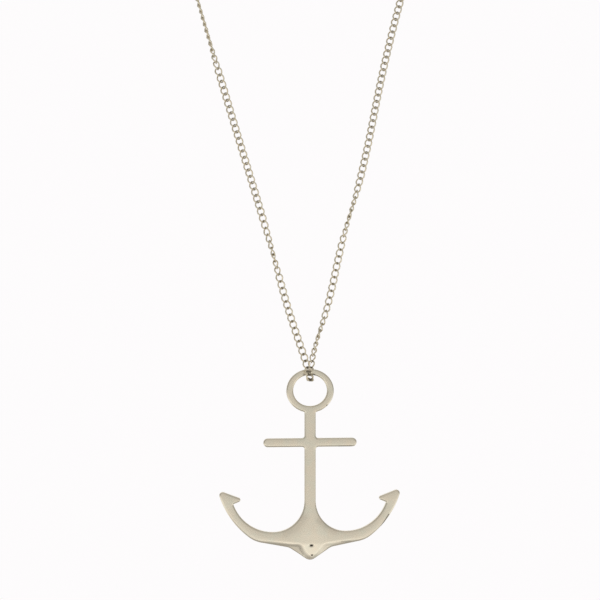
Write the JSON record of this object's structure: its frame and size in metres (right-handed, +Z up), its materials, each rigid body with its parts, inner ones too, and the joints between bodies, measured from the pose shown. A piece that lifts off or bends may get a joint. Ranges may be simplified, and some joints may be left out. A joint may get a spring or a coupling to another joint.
{
  "type": "anchor pendant necklace",
  "caption": "Flat cast anchor pendant that hangs by its ring on a fine curb chain, closed at the nape by a ring clasp.",
  "frame": {"origin": "nape of the neck, in the middle of the clasp, where the necklace rests", "axes": "+Z up, -Y the wearer's front, +X to the right of someone who faces the wearer"},
  "size_m": [0.1212, 0.1225, 0.2804],
  "materials": {
    "anchor_plate": "pale champagne silver plating, softly polished",
    "chain_metal": "bright champagne silver plating, dark in the crossings",
    "clasp_metal": "bright champagne silver plating"
  },
  "bodies": {
    "chain": {"chain_left": "chain_metal", "chain_right": "chain_metal", "clasp": "clasp_metal"},
    "anchor": {"anchor": "anchor_plate"}
  },
  "joints": [
    {"name": "anchor_swing", "type": "hinge", "parent": "chain", "child": "anchor", "pos_m": [0, -0.118, -0.2259], "axis": [0, 1, 0], "range_deg": [-90, 90]}
  ]
}
